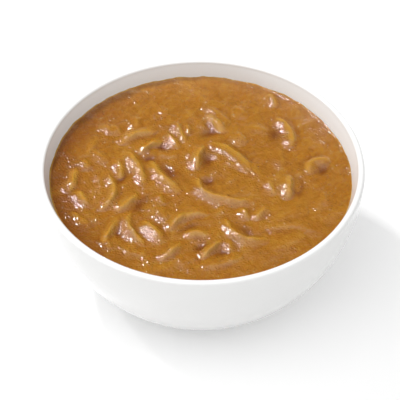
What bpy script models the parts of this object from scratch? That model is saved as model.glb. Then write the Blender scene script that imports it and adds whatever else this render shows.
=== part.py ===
"""French onion soup in its bowl: a thick white porcelain bowl, the soup up to its level, and the
strips of soft onion that stand out of it, each lying in a bed of its own in the soup.

Metres, +Z up. The origin is on the table, on the bowl's axis. +X is to the right and +Y away from
whoever faces the bowl. Run with: blender --background --python part.py
"""

import math
from typing import NamedTuple

import bmesh
import bpy

MM = 0.001

# Bowl: a body that is part of an ellipse, on a low foot ring, with a rounded lip.
RIM_RADIUS = 78.0 * MM
BOWL_HEIGHT = 68.6 * MM
LIP_RADIUS = 1.7 * MM
BODY_DROP = 80.3 * MM
FOOT_RADIUS = 42.0 * MM
FOOT_WIDTH = 4.0 * MM
FOOT_HEIGHT = 3.0 * MM
FOOT_EDGE = 0.5 * MM
FLOOR_THICKNESS = 5.5 * MM
WALL_THICKNESS = 6.0 * MM
INSIDE_SQUARENESS = 2.8
FLARE_DEPTH = 14.0 * MM

# Soup: its level under the rim, and how it climbs the wall.
LEVEL_BELOW_RIM = 9.7 * MM
MENISCUS_HEIGHT = 0.6 * MM
MENISCUS_WIDTH = 2.5 * MM
SETTLED_SLOPE = 0.012
WAVE_HEIGHT = 0.3 * MM
WAVE_LENGTH = 31.0 * MM
GAP = 0.3 * MM

# Onion strips: how far each reaches under the soup, how blunt its ends are, and its cross-section
# in half widths across and half thicknesses up, with a round top.
SUNK_DEPTH = 1.2 * MM
END_BLUNTNESS = 6.0
STRIP_SECTION = ((1.0, 0.0), (0.72, 0.7), (0.0, 1.0), (-0.72, 0.7), (-1.0, 0.0), (0.0, -1.0))

ROUND_SEGMENTS = 52
BODY_STEPS = 8
LIP_STEPS = 4
FLARE_STEPS = 2
INSIDE_STEPS = 7
SURFACE_RINGS = 8
STRIP_RINGS = 7
LINE_STEPS = 96

LIP_CENTRE_HEIGHT = BOWL_HEIGHT - LIP_RADIUS
INSIDE_RADIUS = RIM_RADIUS - WALL_THICKNESS
INSIDE_FLOOR = FOOT_HEIGHT + FLOOR_THICKNESS
SOUP_LEVEL = BOWL_HEIGHT - LEVEL_BELOW_RIM


class Strip(NamedTuple):
    """A strip of onion: where it starts and the ways it heads along its length, in mm and degrees
    counter-clockwise from +X, its width, and how far its crown stands over the soup."""

    start: tuple
    length: float
    headings: tuple
    width: float
    crown: float


STRIPS = (
    # Far left, along the wall.
    Strip((-61.5, 5.0), 18.0, (-88, -95, -128), 5.0, 1.5),
    Strip((-59.0, -10.5), 13.0, (-75, -62, -45), 5.5, 1.7),
    # Left: a pair side by side, and a strip that winds towards the front.
    Strip((-37.5, 17.0), 26.0, (-58, -68, -82), 6.5, 2.0),
    Strip((-43.0, 10.0), 13.5, (-35, -80, -120), 4.6, 1.8),
    Strip((-45.0, 1.0), 27.0, (-85, -66, -95, -125, -130), 5.0, 2.0),
    Strip((-40.5, -23.5), 15.0, (40, 52, 58), 5.5, 1.5),
    # Back left: two arches and the short ends beside them.
    Strip((-40.0, 22.0), 22.0, (65, 40, 15, 0), 5.5, 1.5),
    Strip((-31.0, 15.5), 15.0, (52, 42, 12), 4.6, 2.0),
    Strip((-17.0, 30.0), 12.0, (-65, -60), 4.6, 1.5),
    Strip((-12.7, 38.5), 15.0, (-80, -72, -60), 4.0, 1.5),
    # Back: a broad fold over a hollow, and one that leans on the wall.
    Strip((2.5, 44.5), 17.0, (-42, -55, -70), 6.5, 2.3),
    Strip((34.0, 60.0), 11.0, (-62, -72, -90), 5.0, 2.0),
    Strip((36.5, 42.0), 24.0, (-40, -62, -88, -105), 6.0, 1.8),
    # Middle: the two sides of a big arch, a long slanting strip and a hook.
    Strip((-3.0, 4.0), 18.5, (94, 88, 68, 48), 6.0, 2.3),
    Strip((4.0, 22.5), 28.0, (-15, -40, -55, -78), 6.5, 2.2),
    Strip((-25.0, 10.5), 27.0, (-78, -62, -45, -40), 6.5, 1.9),
    Strip((-1.5, -0.5), 39.0, (-108, -75, -38, -18, -15, 10, 42), 5.4, 2.1),
    # Right: a folded piece with two crests, and a small curl.
    Strip((31.5, -3.0), 10.5, (-78, -72), 4.6, 2.0),
    Strip((41.5, 1.5), 17.0, (-100, -92, -85), 6.5, 2.6),
    Strip((63.0, 11.0), 17.0, (170, 190, 250, 290), 5.5, 1.6),
    # Front left.
    Strip((-39.0, -27.5), 20.0, (-108, -114, -100), 4.0, 1.7),
    Strip((-33.0, -25.0), 24.0, (-125, -80, -50, -48), 4.8, 1.9),
    Strip((-28.0, -31.0), 15.0, (-48, -50, -60), 6.0, 1.9),
    # Front: two arches, a strip rising to the right, and a long one that turns back up.
    Strip((-16.0, -36.5), 25.0, (70, 45, 12, -8), 5.0, 1.8),
    Strip((-7.2, -40.8), 13.0, (62, 15, -12, -30), 4.8, 1.6),
    Strip((-19.5, -54.5), 14.0, (35, 48, 56), 4.8, 1.5),
    Strip((-1.0, -53.5), 15.5, (45, 52, 50), 4.6, 1.9),
    Strip((10.3, -28.0), 30.0, (-80, -66, -38, 5, 28), 5.4, 2.0),
    Strip((18.5, -21.5), 8.0, (-72, -58), 4.2, 1.5),
    Strip((30.5, -19.5), 11.0, (-118, -124, -134), 5.0, 1.6),
)


def body_radius(height):
    """The bowl's outer radius at a height above the table."""
    under_rim = (LIP_CENTRE_HEIGHT - height) / BODY_DROP
    return RIM_RADIUS * math.sqrt(1 - under_rim**2)


def inside_radius(height):
    """The bowl's inner radius at a height: a squarish ellipse that flares to the thin lip."""
    depth = min(1.0, (LIP_CENTRE_HEIGHT - height) / (LIP_CENTRE_HEIGHT - INSIDE_FLOOR))
    bowl = INSIDE_RADIUS * (1 - depth**INSIDE_SQUARENESS) ** (1 / INSIDE_SQUARENESS)
    flare = max(0.0, 1 - (LIP_CENTRE_HEIGHT - height) / FLARE_DEPTH)
    return bowl + (RIM_RADIUS - 2 * LIP_RADIUS - INSIDE_RADIUS) * flare**2


def steps(first, last, count):
    """count + 1 values at equal steps from first to last."""
    return [first + (last - first) * i / count for i in range(count + 1)]


def inside_profile(gap):
    """(radius, height) down the inside of the bowl, from the soup's edge to the middle of the floor,
    moved in from the wall by a gap. The bowl and the soup share it, so the gap is the same all over."""
    reach = LIP_CENTRE_HEIGHT - INSIDE_FLOOR
    soup_edge = math.asin((LIP_CENTRE_HEIGHT - SOUP_LEVEL - MENISCUS_HEIGHT) / reach)
    points = []
    for turn in steps(soup_edge, math.pi / 2, INSIDE_STEPS):
        height = LIP_CENTRE_HEIGHT - reach * math.sin(turn)
        points.append((inside_radius(height) - gap * math.cos(turn), height + gap * math.sin(turn)))
    return points[:-1] + [(0.0, INSIDE_FLOOR + gap)]


def bowl_profile():
    """(radius, height) round the bowl's wall, from the middle of its underside to that of its floor."""
    foot_inner = FOOT_RADIUS - FOOT_WIDTH
    points = [
        (0.0, FOOT_HEIGHT),
        (foot_inner - FOOT_EDGE, FOOT_HEIGHT),
        (foot_inner, 0.0),
        (FOOT_RADIUS - FOOT_EDGE, 0.0),
        (FOOT_RADIUS, FOOT_EDGE),
        (FOOT_RADIUS + FOOT_EDGE, FOOT_HEIGHT),
    ]
    lowest = math.asin((LIP_CENTRE_HEIGHT - FOOT_HEIGHT) / BODY_DROP)
    for turn in steps(lowest, 0.0, BODY_STEPS):
        height = LIP_CENTRE_HEIGHT - BODY_DROP * math.sin(turn)
        points.append((body_radius(height), height))
    lip_centre = RIM_RADIUS - LIP_RADIUS
    for turn in steps(0.0, math.pi, LIP_STEPS)[1:-1]:
        radius = lip_centre + LIP_RADIUS * math.cos(turn)
        height = LIP_CENTRE_HEIGHT + LIP_RADIUS * math.sin(turn)
        points.append((radius, height))
    for height in steps(LIP_CENTRE_HEIGHT, SOUP_LEVEL + MENISCUS_HEIGHT, FLARE_STEPS)[:-1]:
        points.append((inside_radius(height), height))
    return points + inside_profile(0.0)


def soup_height(x, y):
    """The soup's surface over the table: settled a little higher on the left, in slow waves."""
    across = math.sin(math.tau * (x + 0.4 * y) / WAVE_LENGTH)
    along = math.cos(math.tau * (y - 0.3 * x) / WAVE_LENGTH)
    return SOUP_LEVEL - SETTLED_SLOPE * x + WAVE_HEIGHT * across * along


def soup_profile():
    """(radius, height) round the soup, from the bottom of the bowl up its wall and over its surface."""
    wall = inside_profile(GAP)
    surface = steps(wall[0][0] - MENISCUS_WIDTH, 0.0, SURFACE_RINGS)
    return wall[::-1] + [(radius, SOUP_LEVEL) for radius in surface]


def material(name, colour, roughness):
    """A Principled material of one colour, given as linear red, green and blue."""
    made = bpy.data.materials.new(name)
    made.use_nodes = True
    shader = made.node_tree.nodes["Principled BSDF"]
    shader.inputs["Base Color"].default_value = (*colour, 1.0)
    shader.inputs["Roughness"].default_value = roughness
    shader.inputs["Metallic"].default_value = 0.0
    return made


def add_object(name, body, finish):
    """Links the bmesh as an object with smooth faces, and frees it."""
    mesh = bpy.data.meshes.new(name)
    body.to_mesh(mesh)
    body.free()
    mesh.shade_smooth()
    mesh.set_sharp_from_angle(angle=math.radians(35))
    mesh.materials.append(finish)
    made = bpy.data.objects.new(name, mesh)
    bpy.context.scene.collection.objects.link(made)
    return made


def turned(profile):
    """A bmesh turned from (radius, height) points whose two ends are on the axis."""
    body = bmesh.new()
    line = [body.verts.new((radius, 0.0, height)) for radius, height in profile]
    edges = [body.edges.new(pair) for pair in zip(line, line[1:])]
    bmesh.ops.spin(
        body,
        geom=line + edges,
        cent=(0, 0, 0),
        axis=(0, 0, 1),
        angle=math.tau,
        steps=ROUND_SEGMENTS,
        use_merge=True,
    )
    bmesh.ops.remove_doubles(body, verts=body.verts, dist=0.01 * MM)
    bmesh.ops.recalc_face_normals(body, faces=body.faces)
    return body


def strip_line(strip):
    """Points and headings along a strip, in metres and radians, at LINE_STEPS + 1 equal steps."""
    x, y = strip.start[0] * MM, strip.start[1] * MM
    step = strip.length * MM / LINE_STEPS
    points = []
    for share in steps(0.0, len(strip.headings) - 1, LINE_STEPS):
        leg = min(int(share), len(strip.headings) - 2)
        part = share - leg
        heading = math.radians(strip.headings[leg] * (1 - part) + strip.headings[leg + 1] * part)
        points.append((x, y, heading))
        x += step * math.cos(heading)
        y += step * math.sin(heading)
    return points


def strip_body(strip, grown):
    """A bmesh of a strip: STRIP_SECTION carried along the strip's line and narrowing to its two blunt
    ends. grown adds a clearance all round, for its bed in the soup."""
    line = strip_line(strip)
    half_length = strip.length * MM / 2
    half_width = strip.width * MM / 2 + grown
    half_thickness = (strip.crown * MM + SUNK_DEPTH) / 2 + grown

    def place(along, across, up):
        """Along from -1 to 1, across in half widths and up in half thicknesses, as a point."""
        reach = along * (half_length + grown)
        past = max(0.0, abs(reach) - half_length) * math.copysign(1, along)
        x, y, heading = line[round((reach - past + half_length) / (2 * half_length) * LINE_STEPS)]
        x += past * math.cos(heading) - across * half_width * math.sin(heading)
        y += past * math.sin(heading) + across * half_width * math.cos(heading)
        return x, y, soup_height(x, y) + (strip.crown * MM - SUNK_DEPTH) / 2 + up * half_thickness

    body = bmesh.new()
    start = body.verts.new(place(-1, 0, 0))
    end = body.verts.new(place(1, 0, 0))
    rings = []
    for ring in range(1, STRIP_RINGS + 1):
        along = -math.cos(math.pi * ring / (STRIP_RINGS + 1))
        fullness = math.sqrt(1 - abs(along) ** END_BLUNTNESS)
        rings.append([body.verts.new(place(along, a * fullness, u * fullness)) for a, u in STRIP_SECTION])
    sides = len(STRIP_SECTION)
    for i in range(sides):
        j = (i + 1) % sides
        body.faces.new((start, rings[0][j], rings[0][i]))
        body.faces.new((end, rings[-1][i], rings[-1][j]))
        for ring, following in zip(rings, rings[1:]):
            body.faces.new((ring[i], ring[j], following[j], following[i]))
    return body


def add_bowl():
    porcelain = material("glazed porcelain", (0.82, 0.82, 0.80), 0.12)
    return add_object("bowl", turned(bowl_profile()), porcelain)


def add_soup():
    body = turned(soup_profile())
    for vertex in body.verts:
        x, y, height = vertex.co
        if height > SOUP_LEVEL - 0.01 * MM:
            vertex.co.z = height + soup_height(x, y) - SOUP_LEVEL
    return add_object("soup", body, material("brown onion soup", (0.42, 0.18, 0.04), 0.3))


def add_strips(soup):
    """Each strip as its own object, and its bed cut out of the soup."""
    onion = material("soft cooked onion", (0.52, 0.27, 0.08), 0.3)
    for number, strip in enumerate(STRIPS, start=1):
        add_object(f"onion_strip_{number:02d}", strip_body(strip, 0.0), onion)
        bed = add_object(f"bed_{number:02d}", strip_body(strip, GAP), onion)
        bed.hide_render = True
        bed.display_type = "WIRE"
        cut = soup.modifiers.new(bed.name, "BOOLEAN")
        cut.operation = "DIFFERENCE"
        cut.solver = "EXACT"
        cut.object = bed


def main():
    for old in list(bpy.data.objects):
        bpy.data.objects.remove(old)
    add_bowl()
    add_strips(add_soup())


main()
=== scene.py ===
import math
from typing import NamedTuple

import bpy
import numpy as np
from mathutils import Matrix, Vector


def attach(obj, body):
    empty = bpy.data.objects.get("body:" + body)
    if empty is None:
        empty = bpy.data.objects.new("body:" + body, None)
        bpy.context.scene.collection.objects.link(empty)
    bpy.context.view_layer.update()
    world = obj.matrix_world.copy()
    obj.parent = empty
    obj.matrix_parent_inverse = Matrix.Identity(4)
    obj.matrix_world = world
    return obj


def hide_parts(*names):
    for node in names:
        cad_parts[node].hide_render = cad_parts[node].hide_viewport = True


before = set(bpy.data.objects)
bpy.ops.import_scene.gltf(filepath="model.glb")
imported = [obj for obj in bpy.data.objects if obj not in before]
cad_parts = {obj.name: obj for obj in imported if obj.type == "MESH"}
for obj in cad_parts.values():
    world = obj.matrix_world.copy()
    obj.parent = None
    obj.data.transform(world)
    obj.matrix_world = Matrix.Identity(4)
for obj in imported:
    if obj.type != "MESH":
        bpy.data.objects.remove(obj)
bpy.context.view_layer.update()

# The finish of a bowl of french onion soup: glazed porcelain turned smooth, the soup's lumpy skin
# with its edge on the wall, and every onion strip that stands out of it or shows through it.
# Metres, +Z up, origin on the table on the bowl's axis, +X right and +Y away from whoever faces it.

MM = 0.001

# Bowl: the same body, foot, lip and inside as the model, turned finer.
RIM_RADIUS = 78.0 * MM
BOWL_HEIGHT = 68.6 * MM
LIP_RADIUS = 1.7 * MM
BODY_DROP = 80.3 * MM
FOOT_RADIUS = 42.0 * MM
FOOT_WIDTH = 4.0 * MM
FOOT_HEIGHT = 3.0 * MM
FOOT_EDGE = 0.5 * MM
FLOOR_THICKNESS = 5.5 * MM
WALL_THICKNESS = 6.0 * MM
INSIDE_SQUARENESS = 2.8
FLARE_DEPTH = 14.0 * MM
FOOT_CROOK = 1.2 * MM
BISCUIT_HEIGHT = 0.3 * MM
BOWL_SEGMENTS = 224

# Soup: its level, its climb up the wall, and how far it reaches into the wall so that no gap shows.
# SKIN_LUMPS are the sizes across, in mm, of the lumps in its skin, and how high each size rises.
LEVEL_BELOW_RIM = 9.7 * MM
SETTLED_SLOPE = 0.012
CLIMB_HEIGHT = 1.1 * MM
CLIMB_WIDTH = 1.7 * MM
REACH_INTO_WALL = 0.5 * MM
OFF_FLOOR = 0.02 * MM
SKIN_LUMPS = ((24.0, 0.35), (11.0, 0.5), (4.8, 0.24), (2.1, 0.075))
SKIN_CELLS = 280
DEPTH_RINGS = 8
# From what radius to what radius the painted shade along the left wall grows to full strength.
WALL_SHADE_REACH = (50 * MM, 72 * MM)
RIPPLE_SIZE = 2.6 * MM
RIPPLE_HEIGHT = 0.13 * MM

# Strips: how deep they sit, the fillet where the soup's skin climbs their sides, and how uneven
# their width, their height, the run of their crest and their fibres are.
SUNK_DEPTH = 1.2 * MM
FILLET = 1.9 * MM
SKIN_THICKNESS = 0.15 * MM
FAINT_STRIPS = 90
SHALLOWER_ENDS = 0.35 * MM
LEAST_HALF_WIDTH = 0.4 * MM
POOL_DEPTH = 0.2 * MM
THINNEST_SHOWN = 0.4 * MM
WELL_COVERED = 0.6 * MM
BARE_STAND = 0.35 * MM
BESIDE = 4.0 * MM
GRAIN_APART = 17.0 * MM
WIDTH_UNEVENNESS = 0.16
RISE_UNEVENNESS = 0.32
CREST_WANDER = 0.25
FIBRE_RELIEF = 0.03
STRIP_RING_STEP = 0.42 * MM
TOP_POINTS = 18
UNDER_POINTS = 7
LINE_STEPS = 96

# Studio: the lights' places are in metres, and the surround's strengths run from the horizon to
# overhead, and from the front to behind.
LIGHT_TARGET = (0.0, 0.0, 0.06)
SURROUND_UPWARDS = (0.18, 1.72)
SURROUND_BACKWARDS = (1.0, 0.15)
SWEEP_GLOW = 0.24
CAMERA_TARGET = (-0.54 * MM, 0.0, 42.7 * MM)
CAMERA_DISTANCE = 702 * MM
CAMERA_RISE = 45.1
SENSOR_WIDTH = 36.0
FOCAL_LENGTH = 129.06

LIP_CENTRE_HEIGHT = BOWL_HEIGHT - LIP_RADIUS
INSIDE_RADIUS = RIM_RADIUS - WALL_THICKNESS
INSIDE_FLOOR = FOOT_HEIGHT + FLOOR_THICKNESS
SOUP_LEVEL = BOWL_HEIGHT - LEVEL_BELOW_RIM


class Strip(NamedTuple):
    """A strip of onion: where it starts and the ways it heads along its length, in mm and degrees
    counter-clockwise from +X, its width, and how far its crown stands over the soup. crest says
    where across it the crown is, from -1 at its right edge, seen along it, to 1 at its left, and
    trough hollows its top."""

    start: tuple
    length: float
    headings: tuple
    width: float
    crown: float
    crest: float = 0.0
    trough: float = 0.0


STRIPS = (
    # Far left, along the wall.
    Strip((-61.5, 5.0), 18.0, (-88, -95, -128), 5.0, 1.6, 0.2),
    Strip((-59.0, -10.5), 13.0, (-75, -62, -45), 5.5, 1.9, 0.3),
    # Left: a pair side by side, and a strip that winds towards the front.
    Strip((-37.5, 17.0), 26.0, (-58, -68, -82), 6.5, 2.3, 0.45),
    Strip((-43.0, 10.0), 13.5, (-35, -80, -120), 4.4, 1.5, 0.4),
    Strip((-45.0, 1.0), 27.0, (-85, -66, -95, -125, -130), 5.0, 2.1, 0.4),
    Strip((-40.5, -23.5), 15.0, (40, 52, 58), 5.5, 1.7, -0.4),
    # Back left: two arches and the short ends beside them.
    Strip((-40.0, 22.0), 22.0, (65, 40, 15, 0), 5.5, 1.6, -0.3),
    Strip((-31.0, 15.5), 15.0, (52, 42, 12), 4.6, 2.2, -0.2),
    Strip((-17.0, 30.0), 12.0, (-65, -60), 4.6, 1.6, 0.3),
    Strip((-12.7, 38.5), 15.0, (-80, -72, -60), 4.0, 1.7, 0.3),
    # Back: a broad fold over a hollow, and one that leans on the wall.
    Strip((2.5, 44.5), 17.0, (-42, -55, -70), 6.5, 2.5, -0.3),
    Strip((34.0, 60.0), 11.0, (-62, -72, -90), 5.0, 2.2, 0.2),
    Strip((36.5, 42.0), 24.0, (-40, -62, -88, -105), 6.0, 2.0, 0.5),
    # Middle: the two sides of a big arch, a long slanting strip and a hook.
    Strip((-3.0, 4.0), 18.5, (94, 88, 68, 48), 6.0, 2.5, -0.45),
    Strip((4.0, 22.5), 28.0, (-15, -40, -55, -78), 6.5, 2.4, 0.1, 0.45),
    Strip((-25.0, 10.5), 27.0, (-78, -62, -45, -40), 6.5, 2.0, 0.45),
    Strip((-1.5, -0.5), 39.0, (-108, -75, -38, -18, -15, 10, 42), 5.4, 2.2, 0.35),
    # Right: a folded piece with two crests, and a small curl.
    Strip((31.5, -3.0), 10.5, (-78, -72), 4.6, 2.0, 0.3),
    Strip((41.5, 1.5), 17.0, (-100, -92, -85), 6.5, 2.8, 0.5),
    Strip((63.0, 11.0), 17.0, (170, 190, 250, 290), 5.5, 1.6, -0.2),
    # Front left.
    Strip((-39.0, -27.5), 20.0, (-108, -114, -100), 4.0, 1.7, 0.2),
    Strip((-33.0, -25.0), 24.0, (-125, -80, -50, -48), 4.8, 2.0, 0.4),
    Strip((-28.0, -31.0), 15.0, (-48, -50, -60), 6.0, 2.1, 0.4),
    # Front: two arches, a strip rising to the right, and a long one that turns back up.
    Strip((-16.0, -36.5), 25.0, (70, 45, 12, -8), 5.0, 2.0, -0.3),
    Strip((-7.2, -40.8), 13.0, (62, 15, -12, -30), 4.8, 1.8, -0.2),
    Strip((-19.5, -54.5), 14.0, (35, 48, 56), 4.8, 1.7, -0.3),
    Strip((-1.0, -53.5), 15.5, (45, 52, 50), 4.6, 2.1, -0.4),
    Strip((10.3, -28.0), 30.0, (-80, -66, -38, 5, 28), 5.4, 2.2, 0.4),
    Strip((18.5, -21.5), 8.0, (-72, -58), 4.2, 1.5, 0.2),
    Strip((30.5, -19.5), 11.0, (-118, -124, -134), 5.0, 1.7, 0.3),
)

# Strips that stay under the soup's skin and only raise it.
SUNK_STRIPS = (
    Strip((-52.0, 28.0), 16.0, (-105, -112), 5.0, 1.0, 0.3),
    Strip((-53.5, 16.5), 11.0, (-45, -38), 5.0, 1.0, 0.3),
    Strip((-58.0, 11.0), 8.0, (-70, -60), 5.0, 0.9, 0.3),
    Strip((-48.0, 36.0), 8.0, (-65, -55), 4.0, 1.1, 0.3),
    Strip((-44.0, 36.0), 8.0, (-70, -55), 4.0, 1.1, 0.3),
    Strip((-33.0, 42.0), 9.0, (-85, -95), 4.5, 1.0, 0.3),
    Strip((-7.5, 37.0), 8.0, (-80, -90), 3.5, 1.1, 0.3),
    Strip((1.0, 51.0), 19.0, (-35, -60), 4.5, 1.1, 0.2),
    Strip((17.5, 51.0), 10.0, (-60, -50), 4.0, 0.7),
    Strip((17.5, 31.0), 9.0, (-75, -50), 5.0, 1.2, 0.3),
    Strip((21.0, 35.5), 13.0, (-10, -30), 6.0, 1.0),
    Strip((38.0, 20.0), 14.0, (-90, -75), 4.0, 0.6, 0.3),
    Strip((57.5, -10.0), 10.0, (-80, -100), 4.5, 0.9, 0.2),
    Strip((31.0, -29.5), 21.0, (35, 20, 2), 8.0, 1.4, -0.1, 0.4),
    Strip((30.0, -34.0), 20.0, (18, 8, -5), 6.0, 0.8, -0.3),
    Strip((32.0, -47.0), 18.0, (25, 40), 6.0, 0.7, -0.2),
    Strip((-24.0, -34.0), 12.0, (-60, -70), 5.0, 0.9, 0.3),
    Strip((-20.5, -12.5), 8.0, (-80, -70), 4.5, 1.0, 0.3),
    Strip((-19.5, -25.0), 6.0, (-60, -50), 4.0, 0.8),
    Strip((0.0, -58.5), 20.0, (8, 20, 38), 5.0, 1.0, -0.4),
    Strip((12.5, -42.0), 8.0, (-95, -80), 4.0, 0.9, 0.2),
    Strip((-45.0, -42.0), 8.0, (-60, -80), 4.0, 0.7, 0.3),
    Strip((-62.0, -25.0), 14.0, (-50, -35), 5.0, 0.6, 0.3),
    Strip((46.0, 52.0), 10.0, (-60, -80), 4.5, 0.6),
    Strip((24.0, 10.0), 16.0, (-80, -40), 5.0, 0.6),
    Strip((3.0, -13.0), 20.0, (8, -5), 5.0, 0.5),
    Strip((34.0, 1.0), 14.0, (-60, -85), 13.0, 1.1, 0.2),
)


class Hollow(NamedTuple):
    """A dip where thin broth gathers: its middle, half length and half width in mm, the way it
    lies in degrees, and its depth in mm."""

    middle: tuple
    half_length: float
    half_width: float
    heading: float
    depth: float


HOLLOWS = (
    Hollow((4.0, 31.5), 6.5, 3.0, 25, 1.4),
    Hollow((3.5, 12.0), 6.0, 2.8, 75, 1.0),
    Hollow((3.5, -3.5), 3.5, 2.6, 20, 1.0),
    Hollow((46.5, -7.0), 5.5, 2.2, 85, 1.1),
    Hollow((-19.5, 20.5), 3.6, 2.6, -30, 1.0),
    Hollow((-25.5, 11.5), 3.0, 2.2, 0, 0.5),
    Hollow((11.0, -48.5), 6.0, 2.2, 40, 0.9),
    Hollow((20.5, -36.0), 5.0, 2.4, -55, 0.9),
    Hollow((-38.5, -37.5), 4.0, 2.6, -70, 0.8),
    Hollow((-29.0, -20.0), 6.0, 2.6, 60, 0.6),
    Hollow((-5.5, -34.0), 4.5, 2.6, 30, 0.7),
    Hollow((-38.0, -2.0), 5.0, 2.0, 65, 0.7),
    Hollow((-15.5, 3.0), 6.0, 2.6, -50, 0.5),
    Hollow((36.5, 30.0), 4.5, 3.0, 80, 0.6),
    Hollow((59.0, 5.0), 3.5, 2.6, 60, 0.7),
    Hollow((0.0, -47.0), 4.0, 2.4, 30, 0.6),
)


def linear(colour):
    """A hex sRGB colour as linear red, green, blue and alpha."""
    parts = [int(colour[i : i + 2], 16) / 255 for i in (1, 3, 5)]
    return tuple(c / 12.92 if c <= 0.04045 else ((c + 0.055) / 1.055) ** 2.4 for c in parts) + (1.0,)


def add(tree, kind, inputs, **settings):
    """Adds a node with its settings. Each input is a value, or the socket it is linked from."""
    node = tree.nodes.new(kind)
    for name, value in settings.items():
        setattr(node, name, value)
    for name, value in inputs.items():
        if isinstance(value, bpy.types.NodeSocket):
            tree.links.new(value, node.inputs[name])
        else:
            node.inputs[name].default_value = value
    return node


def steps(first, last, count):
    """count + 1 values at equal steps from first to last."""
    return [first + (last - first) * i / count for i in range(count + 1)]


def smooth_step(value, low, high):
    part = np.clip((value - low) / (high - low), 0.0, 1.0)
    return part * part * (3 - 2 * part)


def smooth_max(a, b, reach):
    """The higher of two heights, with a fillet where they come within reach of each other."""
    near = np.maximum(reach - np.abs(a - b), 0.0) / reach
    return np.maximum(a, b) + near * near * reach / 4


def unevenness(x, y, size, seed):
    """Seeded lumps about size across, mostly between -1 and 1, at each point x, y."""
    turns = np.random.default_rng(seed).uniform(0, math.tau, (64, 64))
    i, j = np.floor(x / size).astype(int), np.floor(y / size).astype(int)
    a, b = x / size - i, y / size - j

    def pull(di, dj):
        turn = turns[(i + di) % 64, (j + dj) % 64]
        return np.cos(turn) * (a - di) + np.sin(turn) * (b - dj)

    u = a**3 * (a * (6 * a - 15) + 10)
    v = b**3 * (b * (6 * b - 15) + 10)
    near = pull(0, 0) * (1 - u) + pull(1, 0) * u
    far = pull(0, 1) * (1 - u) + pull(1, 1) * u
    return 1.5 * (near * (1 - v) + far * v)


def body_radius(height):
    """The bowl's outer radius at a height above the table."""
    return RIM_RADIUS * math.sqrt(1 - ((LIP_CENTRE_HEIGHT - height) / BODY_DROP) ** 2)


def inside_radius(height):
    """The bowl's inner radius at a height: a squarish ellipse that flares to the thin lip."""
    depth = np.clip((LIP_CENTRE_HEIGHT - height) / (LIP_CENTRE_HEIGHT - INSIDE_FLOOR), 0.0, 1.0)
    bowl = INSIDE_RADIUS * (1 - depth**INSIDE_SQUARENESS) ** (1 / INSIDE_SQUARENESS)
    flare = np.maximum(0.0, 1 - (LIP_CENTRE_HEIGHT - height) / FLARE_DEPTH)
    return bowl + (RIM_RADIUS - 2 * LIP_RADIUS - INSIDE_RADIUS) * flare**2


def arc(centre, radius, first, last, count):
    """(radius, height) points round an arc in the bowl's section, turning from first to last."""
    return [
        (centre[0] + radius * math.cos(math.radians(t)), centre[1] + radius * math.sin(math.radians(t)))
        for t in steps(first, last, count)
    ]


def bowl_profile():
    """(radius, height) round the bowl's wall, from the middle of its underside to that of its floor."""
    foot_inner = FOOT_RADIUS - FOOT_WIDTH
    crook = FOOT_CROOK
    points = [(0.0, FOOT_HEIGHT), (foot_inner - 2 * crook, FOOT_HEIGHT)]
    points += arc((foot_inner - crook, FOOT_HEIGHT - crook), crook, 90, 0, 5)
    points += arc((foot_inner + FOOT_EDGE, FOOT_EDGE), FOOT_EDGE, 180, 270, 4)
    points += arc((FOOT_RADIUS - FOOT_EDGE, FOOT_EDGE), FOOT_EDGE, -90, 0, 4)
    points += arc((FOOT_RADIUS + crook, FOOT_HEIGHT - crook), crook, 180, 90, 5)
    lowest = math.asin((LIP_CENTRE_HEIGHT - FOOT_HEIGHT) / BODY_DROP)
    for turn in steps(lowest, 0.0, 40):
        height = LIP_CENTRE_HEIGHT - BODY_DROP * math.sin(turn)
        points.append((body_radius(height), height))
    points += arc((RIM_RADIUS - LIP_RADIUS, LIP_CENTRE_HEIGHT), LIP_RADIUS, 0, 180, 14)[1:-1]
    reach = LIP_CENTRE_HEIGHT - INSIDE_FLOOR
    for turn in steps(0.0, 1.0, 44)[:-1]:
        height = LIP_CENTRE_HEIGHT - reach * math.sin(math.pi / 2 * turn**1.4)
        points.append((float(inside_radius(height)), height))
    return points + [(0.0, INSIDE_FLOOR)]


def mesh_object(name, points, faces, marks=None):
    """An object with smooth faces, each mark stored at its points."""
    mesh = bpy.data.meshes.new(name)
    mesh.from_pydata(points, [], faces)
    mesh.update()
    for mark, values in (marks or {}).items():
        values = np.asarray(values, np.float32)
        kind = "FLOAT" if values.ndim == 1 else "FLOAT_VECTOR"
        kept = mesh.attributes.new(mark, kind, "POINT")
        kept.data.foreach_set("value" if values.ndim == 1 else "vector", values.ravel())
    mesh.shade_smooth()
    made = bpy.data.objects.new(name, mesh)
    bpy.context.scene.collection.objects.link(made)
    return made


def turned(name, profile, segments):
    """A closed body turned from (radius, height) points whose two ends are on the axis."""
    points = [(0.0, 0.0, profile[0][1])]
    for radius, height in profile[1:-1]:
        for turn in steps(0.0, math.tau, segments)[:-1]:
            points.append((radius * math.cos(turn), radius * math.sin(turn), height))
    points.append((0.0, 0.0, profile[-1][1]))
    rings = [range(1 + segments * k, 1 + segments * (k + 1)) for k in range(len(profile) - 2)]
    last = len(points) - 1
    faces = []
    for k in range(segments):
        n = (k + 1) % segments
        faces.append((0, rings[0][n], rings[0][k]))
        faces.append((last, rings[-1][k], rings[-1][n]))
        faces += [(a[k], a[n], b[n], b[k]) for a, b in zip(rings, rings[1:])]
    return mesh_object(name, points, faces)


def strip_line(strip):
    """x, y and heading along a strip, in metres and radians, at LINE_STEPS + 1 equal steps."""
    shares = np.linspace(0.0, len(strip.headings) - 1, LINE_STEPS + 1)
    headings = np.radians(np.interp(shares, range(len(strip.headings)), strip.headings))
    step = strip.length * MM / LINE_STEPS
    x = strip.start[0] * MM + step * np.concatenate(([0.0], np.cumsum(np.cos(headings[:-1]))))
    y = strip.start[1] * MM + step * np.concatenate(([0.0], np.cumsum(np.sin(headings[:-1]))))
    return x, y, headings


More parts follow.
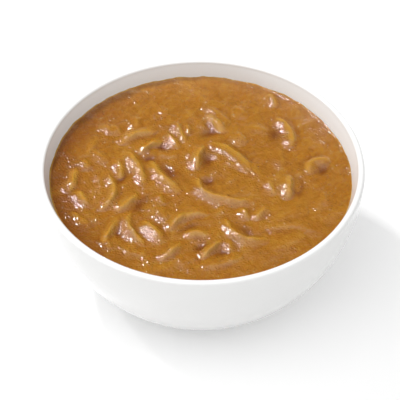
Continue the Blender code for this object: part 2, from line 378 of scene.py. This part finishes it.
def strip_half_width(strip, along, number):
    """Half a strip's width in metres at along, from 0 to 1: uneven, and narrowing at its ends."""
    place = along * strip.length * MM
    fullness = np.sqrt(np.maximum(1 - np.abs(2 * along - 1) ** 5, 0.0))
    uneven = WIDTH_UNEVENNESS * unevenness(place, 0 * place, 5 * MM, 300 + number)
    return strip.width * MM / 2 * fullness * (1 + uneven)


def strip_top(strip, along, across, number):
    """Height of a strip's top over the soup's level, along from 0 to 1 and across from -1 to 1: it
    climbs gently to its crest from one side, drops off on the other, and sinks at its ends."""
    place = along * strip.length * MM
    rise = 1 - np.abs(2 * along - 1) ** 2.6
    rise = rise * (1 + RISE_UNEVENNESS * unevenness(place, 0 * place, 6 * MM, 500 + number))
    side = np.clip(across, -1.0, 1.0)
    wander = CREST_WANDER * unevenness(place, 0 * place, 9 * MM, 700 + number)
    crest = np.clip(strip.crest + wander, -0.75, 0.75)
    from_crest = np.where(side > crest, (side - crest) / (1 - crest), (crest - side) / (1 + crest))
    shape = 1 - from_crest**1.8
    shape = shape - strip.trough * (1 - from_crest**2) ** 3
    fibres = FIBRE_RELIEF * np.sin(side * 9 + 2.2 * unevenness(place, 0 * place, 8 * MM, 900 + number))
    past = np.maximum(np.abs(across) - 1, 0.0)
    return strip.crown * MM * (rise * (shape + fibres * shape) - past) - SHALLOWER_ENDS * (1 - rise)


def ripple(x, y):
    """Small ripples over the strips and the soup that coats them, in metres."""
    return RIPPLE_HEIGHT * unevenness(x, y, RIPPLE_SIZE, 8)


def still_soup(x, y):
    """The height of the soup's skin with no strips in it, lying a little aslope, in slow waves, lumpy and
    dipping at hollows, and how much darker its colour is painted, from 0 to 1: 1 where thin broth lies
    deep in a hollow, partly for the broth and partly as painted shade in the dip, and up to 0.8 along
    the left wall as painted shade cast by the wall."""
    height = SOUP_LEVEL - SETTLED_SLOPE * x
    for seed, (size, rise) in enumerate(SKIN_LUMPS, 1):
        height += rise * MM * unevenness(x, y, size * MM, seed)
    broth_and_shade = np.zeros_like(x)
    for dip in HOLLOWS:
        turn = math.radians(dip.heading)
        u = (x - dip.middle[0] * MM) * math.cos(turn) + (y - dip.middle[1] * MM) * math.sin(turn)
        v = (y - dip.middle[1] * MM) * math.cos(turn) - (x - dip.middle[0] * MM) * math.sin(turn)
        here = np.exp(-((u / (dip.half_length * MM)) ** 2) - (v / (dip.half_width * MM)) ** 2)
        height -= dip.depth * MM * here
        broth_and_shade = np.maximum(broth_and_shade, here)
    # Painted shade cast by the left wall: the soup's colour darkens towards its edge on the left side.
    radius = np.hypot(x, y)
    leftward = smooth_step(-x / np.maximum(radius, MM), 0.25, 1.0)
    wall_shade = smooth_step(radius, *WALL_SHADE_REACH) * leftward
    return height, np.maximum(broth_and_shade, 0.8 * wall_shade)


def beside(strip, x, y, margin):
    """Where the points x, y within margin of a strip lie beside it: their indices, how far along it
    they are from 0 to 1, how far to its left in metres, how far past its ends, and the nearest
    place on its line."""
    line_x, line_y, headings = strip_line(strip)
    near = (x > line_x.min() - margin) & (x < line_x.max() + margin)
    near &= (y > line_y.min() - margin) & (y < line_y.max() + margin)
    near = np.flatnonzero(near)
    off_x, off_y = x[near, None] - line_x, y[near, None] - line_y
    closest = np.argmin(off_x**2 + off_y**2, axis=1)
    rows = np.arange(len(near))
    off_x, off_y = off_x[rows, closest], off_y[rows, closest]
    heading = headings[closest]
    forward = off_x * np.cos(heading) + off_y * np.sin(heading)
    left = off_y * np.cos(heading) - off_x * np.sin(heading)
    along = np.clip(closest / LINE_STEPS + forward / (strip.length * MM), 0.0, 1.0)
    past = np.maximum(np.abs(forward) - strip.length * MM / LINE_STEPS, 0.0)
    return near, along, left, past, line_x[closest], line_y[closest]


def faint_strips():
    """Seeded strips well under the skin that only ripple it, curled round the bowl by stirring."""
    draw = np.random.default_rng(12)
    strips = []
    for _ in range(FAINT_STRIPS):
        radius = 67 * math.sqrt(draw.uniform())
        turn = draw.uniform(0, math.tau)
        heading = math.degrees(turn) + 90 + draw.normal(0, 40)
        bend = draw.uniform(-80, 80)
        strips.append(
            Strip(
                (radius * math.cos(turn), radius * math.sin(turn)),
                draw.uniform(7, 22),
                (heading, heading + bend / 2, heading + bend),
                draw.uniform(3.5, 7.0),
                draw.uniform(0.15, 0.5),
            )
        )
    return strips


def skin(x, y):
    """The height of the soup's skin and two shares from 0 to 1: how clearly a strip shows through it,
    with a painted glow along each crest, and how much darker the skin is painted, for deep broth and
    as painted shade in the dips, beside the strips' steep sides and by the left wall."""
    height, broth_and_shade = still_soup(x, y)
    onion = np.zeros_like(x)
    for strip in faint_strips():
        near, along, left, past, _, _ = beside(strip, x, y, strip.width * MM)
        off = np.hypot(left, past) / (strip.width * MM / 2)
        ridge = np.exp(-(off**2) * 1.4) * (1 - np.abs(2 * along - 1) ** 4)
        height[near] += strip.crown * MM * ridge
        onion[near] = np.maximum(onion[near], ridge * strip.crown * 0.6)
    for number, strip in enumerate(STRIPS + SUNK_STRIPS):
        sunk = number >= len(STRIPS)
        near, along, left, past, place_x, place_y = beside(strip, x, y, strip.width * MM / 2 + BESIDE)
        if not len(near):
            continue
        half_width = np.maximum(strip_half_width(strip, along, number), LEAST_HALF_WIDTH)
        across = left / half_width
        across = np.where(past > 0, np.sign(across) * (np.abs(across) + past / half_width), across)
        top = SOUP_LEVEL - SETTLED_SLOPE * place_x + strip_top(strip, along, across, number)
        top += ripple(x[near], y[near])
        # A thin coat of soup over the strip, and a shallow pool along its steep side.
        cover = SKIN_THICKNESS * (0.4 + 1.4 * unevenness(place_x, place_y, 5 * MM, 40 + number))
        before = height[near]
        steep = math.copysign(1.0, strip.crest) * across
        pool = np.exp(-(((steep - 1.5) / 0.5) ** 2)) * (1 - np.abs(2 * along - 1) ** 2) * (past == 0)
        before = before - POOL_DEPTH * pool * (0.4 if sunk else 1.0)
        height[near] = smooth_max(before, top if sunk else top - cover, FILLET)
        # The strip's gold shows where the soup over it is thin; the extra gold along its crest and steep
        # side is a painted glow of light through its thin edge.
        thin = np.exp(-np.maximum(height[near] - top, 0.0) / THINNEST_SHOWN)
        crest = smooth_step(steep, -0.5, 0.5) * (1 - smooth_step(np.abs(across), 0.9, 1.4))
        gold_and_painted_glow = thin * (0.25 + 0.75 * crest) * (1 - smooth_step(np.abs(across), 0.7, 1.3))
        onion[near] = np.maximum(onion[near], gold_and_painted_glow * (0.6 if sunk else 1.0))
        # Painted shade with broth: the pool along the steep side is painted darker, partly for broth
        # gathered there and partly as the strip's shade, and hardly at all where the strip stands above the
        # skin.
        covered = smooth_step(top - before, 0.0, WELL_COVERED)
        broth_and_shade[near] = np.maximum(broth_and_shade[near], 0.4 * pool * (0.3 if sunk else 1.0)) * (1 - 0.9 * covered)
    return height, onion, broth_and_shade


def disc_points(cells):
    """x and y from -1 to 1 over a unit disc: a square grid of cells drawn out to a round edge, so
    that its squares stay nearly one size."""
    line = np.linspace(-1, 1, cells + 1)
    a, b = np.meshgrid(line, line, indexing="ij")
    wide = np.abs(a) > np.abs(b)
    radius = np.where(wide, a, b)
    with np.errstate(divide="ignore", invalid="ignore"):
        turn = np.where(wide, math.pi / 4 * b / a, math.pi / 2 - math.pi / 4 * a / b)
    turn = np.nan_to_num(turn)
    return (radius * np.cos(turn)).ravel(), (radius * np.sin(turn)).ravel()


def make_soup():
    """The soup as one closed body: its skin, sides that reach a little into the bowl's wall, and an
    underside on its floor."""
    side = SKIN_CELLS + 1
    x, y = disc_points(SKIN_CELLS)
    edge_radius = float(inside_radius(SOUP_LEVEL + CLIMB_HEIGHT)) + REACH_INTO_WALL
    x, y = x * edge_radius, y * edge_radius
    height, onion, broth_and_shade = skin(x, y)
    from_wall = inside_radius(SOUP_LEVEL) - np.hypot(x, y)
    climb = np.exp(-np.maximum(from_wall, 0.0) / CLIMB_WIDTH)
    height += CLIMB_HEIGHT * climb
    points = list(zip(x.tolist(), y.tolist(), height.tolist()))
    index = np.arange(side * side).reshape(side, side)
    faces = np.stack([index[:-1, :-1], index[1:, :-1], index[1:, 1:], index[:-1, 1:]], -1)
    faces = faces.reshape(-1, 4).tolist()
    rim = np.concatenate([index[:-1, 0], index[-1, :-1], index[:0:-1, -1], index[0, :0:-1]]).tolist()
    lowest = INSIDE_FLOOR + OFF_FLOOR
    rings = [rim]
    for share in steps(0.0, 1.0, DEPTH_RINGS)[1:]:
        ring = []
        for k in rim:
            top = points[k][2]
            depth = top - (top - lowest) * math.sin(share * math.pi / 2)
            radius = float(inside_radius(depth)) + REACH_INTO_WALL * (1 - share)
            turn = math.atan2(points[k][1], points[k][0])
            ring.append(len(points))
            points.append((radius * math.cos(turn), radius * math.sin(turn), depth))
        rings.append(ring)
    turns = [(k, (k + 1) % len(rim)) for k in range(len(rim))]
    for upper, lower in zip(rings, rings[1:]):
        faces += [(upper[k], lower[k], lower[n], upper[n]) for k, n in turns]
    middle = len(points)
    points.append((0.0, 0.0, INSIDE_FLOOR + OFF_FLOOR / 2))
    faces += [(rings[-1][n], rings[-1][k], middle) for k, n in turns]
    rest = len(points) - side * side
    marks = {
        "onion": np.concatenate([onion, np.zeros(rest)]),
        "broth_and_shade": np.concatenate([broth_and_shade, np.zeros(rest)]),
        "climb": np.concatenate([climb, np.ones(rest)]),
    }
    return mesh_object("soup_skin", points, faces, marks)


def make_strip(strip, number):
    """A strip as a closed body: a rounded top with its fibres, and an underside sunk in the soup."""
    line_x, line_y, headings = strip_line(strip)
    rings = max(12, round(strip.length * MM / STRIP_RING_STEP))
    over = -np.cos(np.linspace(0.0, math.pi, TOP_POINTS))
    under = np.cos(np.linspace(0.0, math.pi, UNDER_POINTS + 2))[1:-1]
    across = np.concatenate([over, under])
    points = []
    grain = []
    for ring in range(rings + 1):
        # Just short of both ends, where the width would come to nothing.
        along = 0.004 + 0.992 * ring / rings
        reach = along * LINE_STEPS
        x = np.interp(reach, range(LINE_STEPS + 1), line_x)
        y = np.interp(reach, range(LINE_STEPS + 1), line_y)
        heading = np.interp(reach, range(LINE_STEPS + 1), headings)
        here = np.full_like(across, along)
        half_width = strip_half_width(strip, here, number)
        top = strip_top(strip, here, across, number)
        from_middle = abs(2 * along - 1)
        low = -SUNK_DEPTH * np.sqrt(1 - across**2) * (1 - from_middle**4)
        low -= SHALLOWER_ENDS * from_middle**3.2
        is_top = np.arange(len(across)) < TOP_POINTS
        height = SOUP_LEVEL - SETTLED_SLOPE * x + np.where(is_top, top, low)
        side = across * half_width
        points.append(np.stack([x - side * math.sin(heading), y + side * math.cos(heading), height], -1))
        apart = np.full_like(across, GRAIN_APART * number)
        grain.append(np.stack([here * strip.length * MM, side, apart], -1))
    around = len(across)
    faces = []
    for ring in range(rings):
        for k in range(around):
            n = (k + 1) % around
            a, b = ring * around, (ring + 1) * around
            faces.append((a + k, b + k, b + n, a + n))
    faces.append(tuple(range(around)))
    faces.append(tuple(reversed(range(rings * around, (rings + 1) * around))))
    points = np.concatenate(points)
    points[:, 2] += ripple(points[:, 0], points[:, 1])
    soup_height, onion, _ = skin(points[:, 0], points[:, 1])
    bare = smooth_step(points[:, 2] - soup_height, 0.0, BARE_STAND)
    marks = {"bare": bare, "onion": onion, "grain": np.concatenate(grain)}
    return mesh_object(f"onion_{number + 1:02d}", points.tolist(), faces, marks)


def blend(tree, share, low, high):
    """A colour mixed from two, by a share from 0 to 1."""
    inputs = {0: share, 6: low, 7: high}
    return add(tree, "ShaderNodeMix", inputs, data_type="RGBA").outputs[2]


def ramp(tree, value, low, high, first, last):
    """A value from low to high turned into one from first to last, and held there beyond them."""
    return add(tree, "ShaderNodeMapRange", {0: value, 1: low, 2: high, 3: first, 4: last}).outputs[0]


def stored(tree, name):
    """A value kept at the mesh's points."""
    return add(tree, "ShaderNodeAttribute", {}, attribute_name=name).outputs["Fac"]


def soup_colour(tree, place, onion, broth_and_shade):
    """The thick soup's brown: mottled by shreds, golden over onion and along crests as a painted glow,
    and deep orange-brown where thin broth gathers and as painted shade, if it has that mask, with
    fine dark specks of pepper about half a millimetre wide."""
    drift = add(tree, "ShaderNodeTexNoise", {"Vector": place, "Scale": 1 / (14 * MM), "Detail": 3.0})
    colour = blend(tree, drift.outputs[0], linear("#895613"), linear("#966115"))
    inputs = {"Vector": place, "Scale": 1 / (4.5 * MM), "Detail": 4.0, "Distortion": 1.6}
    swirl = add(tree, "ShaderNodeTexNoise", inputs)
    colour = blend(tree, ramp(tree, swirl.outputs[0], 0.52, 0.72, 0.0, 0.5), colour, linear("#9F7326"))
    colour = blend(tree, ramp(tree, swirl.outputs[0], 0.48, 0.30, 0.0, 0.5), colour, linear("#784407"))
    # Painted darker where thin broth gathers, and as painted shade.
    if broth_and_shade is not None:
        colour = blend(tree, broth_and_shade, colour, linear("#6A3706"))
    # Golden where onion shows through, and along crests as a painted glow.
    colour = blend(tree, onion, colour, linear("#A77726"))
    cells = add(tree, "ShaderNodeTexVoronoi", {"Vector": place, "Scale": 1 / (4.2 * MM), "Randomness": 1.0})
    speck = ramp(tree, cells.outputs["Distance"], 0.05, 0.09, 0.6, 0.0)
    return blend(tree, speck, colour, linear("#381E04"))


def lumped(tree, place):
    """A normal with the soup's small soft lumps, near 2 mm across."""
    lumps = add(tree, "ShaderNodeTexNoise", {"Vector": place, "Scale": 1 / (2.2 * MM), "Detail": 2.0})
    inputs = {"Height": lumps.outputs[0], "Strength": 1.0, "Distance": 0.22 * MM}
    return add(tree, "ShaderNodeBump", inputs).outputs[0]


def gritty(tree, place, below):
    """A normal for the wet film on top, which soft grit near 1 mm and scattered beads of fat break
    up into glints."""
    grit = add(tree, "ShaderNodeTexNoise", {"Vector": place, "Scale": 1 / (0.95 * MM), "Detail": 0.5})
    inputs = {"Height": grit.outputs[0], "Strength": 1.0, "Distance": 0.24 * MM, "Normal": below}
    rough = add(tree, "ShaderNodeBump", inputs).outputs[0]
    cells = add(tree, "ShaderNodeTexVoronoi", {"Vector": place, "Scale": 1 / (1.8 * MM), "Randomness": 1.0})
    bead = ramp(tree, cells.outputs["Distance"], 0.0, 0.34, 1.0, 0.0)
    size = add(tree, "ShaderNodeSeparateColor", {"Color": cells.outputs["Color"]}).outputs["Red"]
    height = add(tree, "ShaderNodeMath", {0: bead, 1: size}, operation="MULTIPLY").outputs[0]
    inputs = {"Height": height, "Strength": 1.0, "Distance": 0.25 * MM, "Normal": rough}
    return add(tree, "ShaderNodeBump", inputs).outputs[0]


def new_material(name):
    """A material with an empty Principled shader, and its node tree."""
    made = bpy.data.materials.new(name)
    made.use_nodes = True
    return made, made.node_tree, made.node_tree.nodes["Principled BSDF"]


def wet(shader):
    """A film of broth over everything, which gives sharp glints."""
    shader.inputs["Coat Weight"].default_value = 1.0
    shader.inputs["Coat Roughness"].default_value = 0.05
    shader.inputs["Coat IOR"].default_value = 1.5
    shader.inputs["Roughness"].default_value = 0.4
    shader.inputs["IOR"].default_value = 1.36
    # Only the film shines: what lies under it has no gloss of its own.
    shader.inputs["Specular IOR Level"].default_value = 0.0


def thick_onion_soup():
    """Onion soup thickened by long simmering: an opaque brown liquid with shreds in it. It gives a
    wet but gritty skin, yellower over onion and with a painted glow along the strips' crests, and a
    deep orange-brown where thin broth gathers and as painted shade in dips, beside strips and by
    the left wall."""
    made, tree, shader = new_material("thick_onion_soup")
    place = add(tree, "ShaderNodeTexCoord", {}).outputs["Object"]
    colour = soup_colour(tree, place, stored(tree, "onion"), stored(tree, "broth_and_shade"))
    film = ramp(tree, stored(tree, "climb"), 0.75, 1.0, 0.0, 0.4)
    colour = blend(tree, film, colour, linear("#C5A247"))
    tree.links.new(colour, shader.inputs["Base Color"])
    normal = gritty(tree, place, lumped(tree, place))
    tree.links.new(normal, shader.inputs["Normal"])
    tree.links.new(normal, shader.inputs["Coat Normal"])
    wet(shader)
    shader.inputs["Subsurface Weight"].default_value = 0.5
    shader.inputs["Subsurface Radius"].default_value = (1.0, 0.45, 0.12)
    shader.inputs["Subsurface Scale"].default_value = 1.6 * MM
    return made


def soft_cooked_onion():
    """Onion sliced and cooked until soft: translucent flesh with fibres along it, stained gold by
    the soup and wet with it. It gives golden ridges with faint lengthwise lines."""
    made, tree, shader = new_material("soft_cooked_onion")
    place = add(tree, "ShaderNodeTexCoord", {}).outputs["Object"]
    grain = add(tree, "ShaderNodeAttribute", {}, attribute_name="grain")
    # Onion fibres are about 0.3 mm apart: drawn 0.8 mm apart and ten times as long, so that they show.
    inputs = {"Vector": grain.outputs["Vector"], "Scale": (0.1, 1.0, 1.0)}
    drawn_out = add(tree, "ShaderNodeMapping", inputs).outputs[0]
    fibre = add(tree, "ShaderNodeTexNoise", {"Vector": drawn_out, "Scale": 1 / (0.8 * MM), "Detail": 2.0})
    flesh = blend(tree, fibre.outputs[0], linear("#946519"), linear("#AC7F28"))
    bare = ramp(tree, stored(tree, "bare"), 0.0, 1.0, 0.0, 0.75)
    # Coated parts take the soup's colour, golden along the crest partly as a painted glow.
    colour = blend(tree, bare, soup_colour(tree, place, stored(tree, "onion"), None), flesh)
    tree.links.new(colour, shader.inputs["Base Color"])
    normal = lumped(tree, place)
    inputs = {"Height": fibre.outputs[0], "Strength": 1.0, "Distance": 0.06 * MM, "Normal": normal}
    ridged = gritty(tree, place, add(tree, "ShaderNodeBump", inputs).outputs[0])
    tree.links.new(ridged, shader.inputs["Normal"])
    tree.links.new(ridged, shader.inputs["Coat Normal"])
    wet(shader)
    shader.inputs["Subsurface Weight"].default_value = 0.6
    shader.inputs["Subsurface Radius"].default_value = (1.0, 0.6, 0.2)
    shader.inputs["Subsurface Scale"].default_value = 2.2 * MM
    return made


def glazed_porcelain():
    """White porcelain, jiggered and dipped in clear glaze. It gives a bright, even, slightly wavy
    gloss with the faintest warmth."""
    made, tree, shader = new_material("glazed_porcelain")
    place = add(tree, "ShaderNodeTexCoord", {}).outputs["Object"]
    cloud = add(tree, "ShaderNodeTexNoise", {"Vector": place, "Scale": 1 / (30 * MM), "Detail": 2.0})
    colour = blend(tree, cloud.outputs[0], linear("#DDDDDC"), linear("#E0E0DF"))
    tree.links.new(colour, shader.inputs["Base Color"])
    pull = add(tree, "ShaderNodeTexNoise", {"Vector": place, "Scale": 1 / (18 * MM), "Detail": 1.0})
    wavy = add(tree, "ShaderNodeBump", {"Height": pull.outputs[0], "Strength": 0.25, "Distance": 0.4 * MM})
    tree.links.new(wavy.outputs[0], shader.inputs["Normal"])
    shader.inputs["Roughness"].default_value = 0.14
    shader.inputs["IOR"].default_value = 1.5
    return made


def unglazed_biscuit():
    """The foot's ground face, wiped of glaze before firing: dry, matt and a little sandy."""
    made, tree, shader = new_material("unglazed_biscuit")
    place = add(tree, "ShaderNodeTexCoord", {}).outputs["Object"]
    # Porcelain's grit is near 0.1 mm: drawn 0.5 mm so that it shows.
    grit = add(tree, "ShaderNodeTexNoise", {"Vector": place, "Scale": 1 / (0.5 * MM), "Detail": 3.0})
    colour = blend(tree, grit.outputs[0], linear("#D9D3C8"), linear("#E8E4DB"))
    tree.links.new(colour, shader.inputs["Base Color"])
    sandy = add(tree, "ShaderNodeBump", {"Height": grit.outputs[0], "Strength": 0.5, "Distance": 0.1 * MM})
    tree.links.new(sandy.outputs[0], shader.inputs["Normal"])
    shader.inputs["Roughness"].default_value = 0.85
    return made


def make_bowl():
    """The bowl, glazed all over but for the ground face of its foot."""
    bowl = turned("porcelain_bowl", bowl_profile(), BOWL_SEGMENTS)
    bowl.data.materials.append(glazed_porcelain())
    bowl.data.materials.append(unglazed_biscuit())
    for face in bowl.data.polygons:
        if face.center.z < BISCUIT_HEIGHT:
            face.material_index = 1
    return bowl


def square_light(name, place, side, power):
    """A square panel of light at a place, facing the soup's middle."""
    panel = bpy.data.lights.new(name, "AREA")
    panel.shape = "RECTANGLE"
    panel.size = side
    panel.size_y = side
    panel.energy = power
    lamp = bpy.data.objects.new(name, panel)
    lamp.location = place
    lamp.rotation_euler = (Vector(LIGHT_TARGET) - Vector(place)).to_track_quat("-Z", "Y").to_euler()
    bpy.context.scene.collection.objects.link(lamp)


def make_studio():
    """A white sweep that glows faintly, a surround that is bright overhead and dim behind, a broad
    window light at the front left, and two small hard lights at the back left for the glints."""
    corners = [(-4, -4, 0), (4, -4, 0), (4, 4, 0), (-4, 4, 0)]
    floor = mesh_object("studio_floor", corners, [(0, 1, 2, 3)])
    made, tree, shader = new_material("white_sweep")
    place = add(tree, "ShaderNodeTexCoord", {}).outputs["Object"]
    tone = add(tree, "ShaderNodeTexNoise", {"Vector": place, "Scale": 4.0})
    colour = blend(tree, tone.outputs[0], linear("#D7D7D7"), linear("#D9D9D9"))
    tree.links.new(colour, shader.inputs["Base Color"])
    shader.inputs["Roughness"].default_value = 0.9
    shader.inputs["Emission Color"].default_value = (1.0, 1.0, 1.0, 1.0)
    shader.inputs["Emission Strength"].default_value = SWEEP_GLOW
    floor.data.materials.append(made)
    world = bpy.data.worlds.new("studio")
    world.use_nodes = True
    tree = world.node_tree
    surround = tree.nodes["Background"]
    surround.inputs["Color"].default_value = (1.0, 1.0, 1.0, 1.0)
    towards = add(tree, "ShaderNodeTexCoord", {}).outputs["Generated"]
    parts = add(tree, "ShaderNodeSeparateXYZ", {"Vector": towards}).outputs
    overhead = ramp(tree, parts["Z"], 0.0, 1.0, *SURROUND_UPWARDS)
    behind = ramp(tree, parts["Y"], 0.0, 0.7, *SURROUND_BACKWARDS)
    both = add(tree, "ShaderNodeMath", {0: overhead, 1: behind}, operation="MULTIPLY")
    tree.links.new(both.outputs[0], surround.inputs["Strength"])
    bpy.context.scene.world = world
    square_light("window", (-0.46, -0.36, 0.98), 0.8, 2.3)
    square_light("key", (-0.53, 0.48, 0.98), 0.12, 7.2)
    square_light("kicker", (-0.80, 0.30, 0.86), 0.08, 1.8)
    bpy.context.scene.view_settings.view_transform = "Standard"


def make_camera():
    """Looks down at the bowl at 45 degrees from the front, 0.7 m away."""
    data = bpy.data.cameras.new("camera")
    data.sensor_width = SENSOR_WIDTH
    data.lens = FOCAL_LENGTH
    camera = bpy.data.objects.new("camera", data)
    rise = math.radians(CAMERA_RISE)
    outward = Vector((0.0, -math.cos(rise), math.sin(rise)))
    camera.location = Vector(CAMERA_TARGET) + CAMERA_DISTANCE * outward
    camera.rotation_euler = (math.radians(90) - rise, 0.0, 0.0)
    bpy.context.scene.collection.objects.link(camera)
    bpy.context.scene.camera = camera


def main():
    """Makes every piece, and says what it rides on, which solid it replaces and its finish."""
    make_camera()
    make_studio()
    bowl = make_bowl()
    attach(bowl, "root")
    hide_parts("bowl")
    soup = make_soup()
    soup.data.materials.append(thick_onion_soup())
    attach(soup, "root")
    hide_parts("soup")
    onion = soft_cooked_onion()
    for number, strip in enumerate(STRIPS):
        piece = make_strip(strip, number)
        piece.data.materials.append(onion)
        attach(piece, "root")
        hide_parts(f"onion_strip_{number + 1:02d}")


main()
